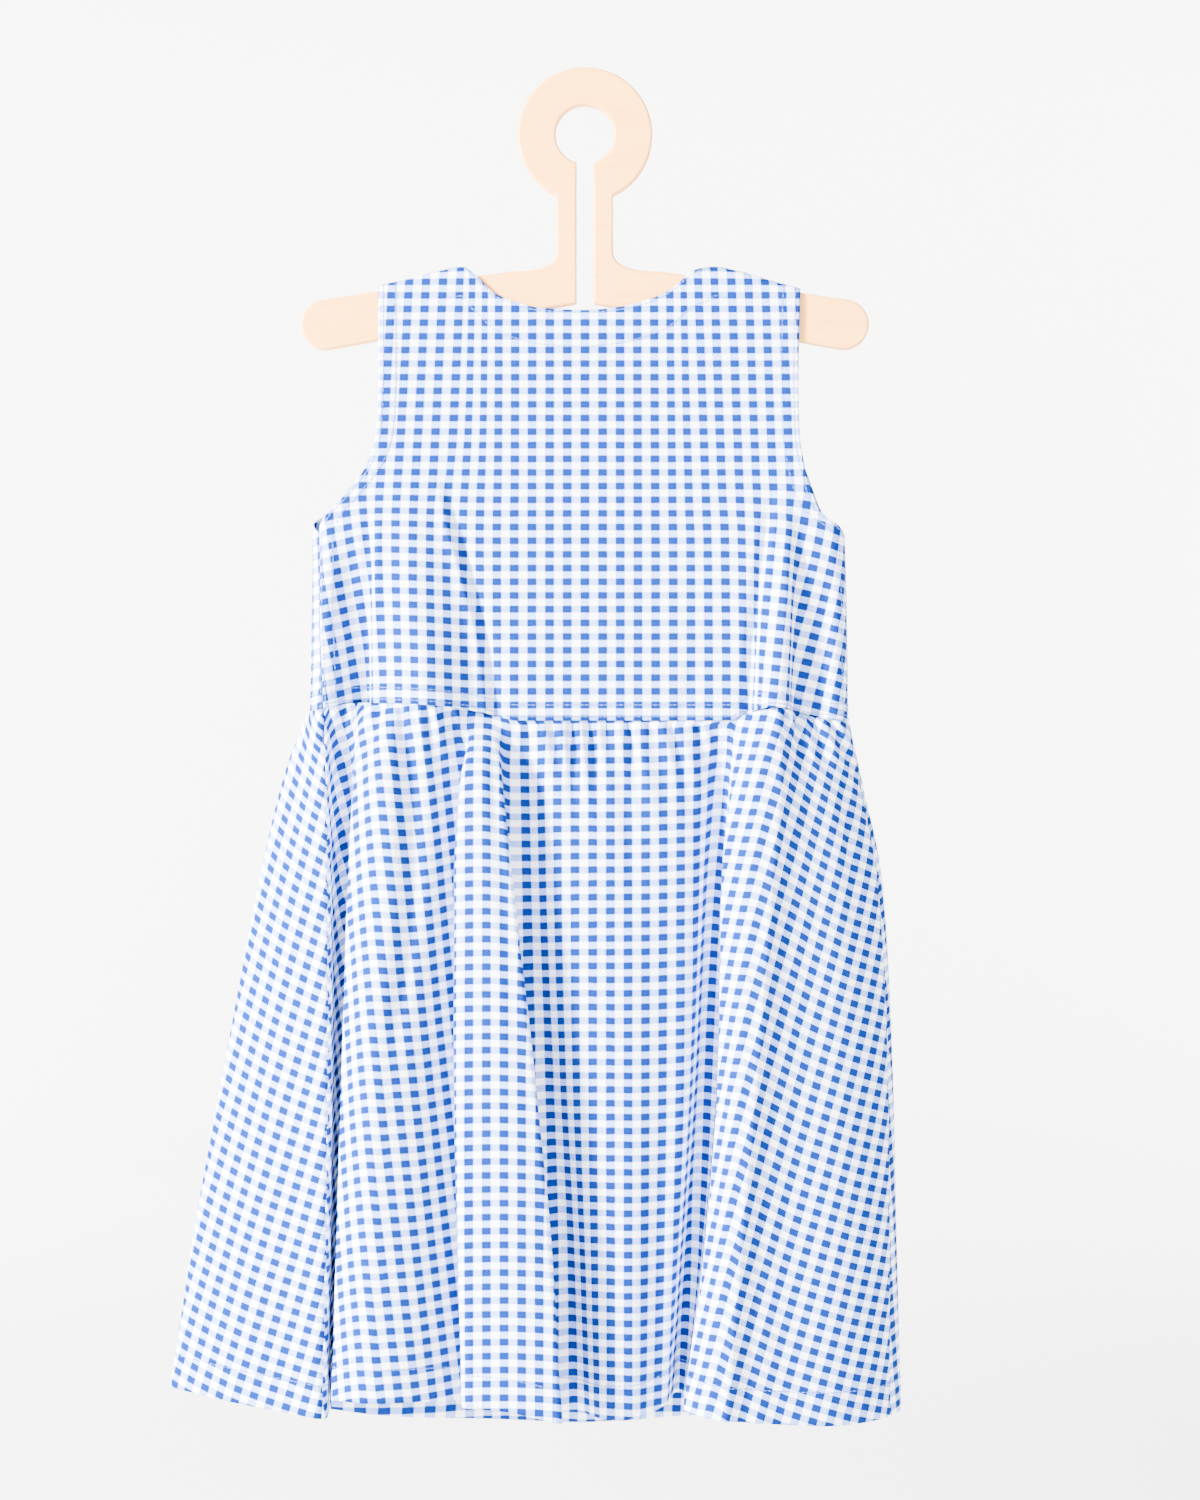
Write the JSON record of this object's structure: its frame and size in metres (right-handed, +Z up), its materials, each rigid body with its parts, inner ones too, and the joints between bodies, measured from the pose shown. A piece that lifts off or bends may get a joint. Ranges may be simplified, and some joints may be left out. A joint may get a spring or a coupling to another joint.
{
  "type": "sundress on a hanger",
  "caption": "Child's sleeveless gingham sundress with a gathered skirt, hung on a flat plywood hanger with a ring.",
  "frame": {"origin": "top of the hole in the hanger's ring, where the nail or peg bears", "axes": "+Z up along the dress, +X to the viewer's right, -Y out from the dress's back, the side that the picture shows, towards the viewer"},
  "size_m": [0.426, 0.0619, 0.7884],
  "materials": {
    "gingham_cotton": "matte",
    "birch_plywood": "satin"
  },
  "bodies": {
    "root": {"hanger": "birch_plywood", "bodice_back": "gingham_cotton", "bodice_front": "gingham_cotton", "skirt_back": "gingham_cotton", "skirt_front": "gingham_cotton"}
  },
  "joints": []
}
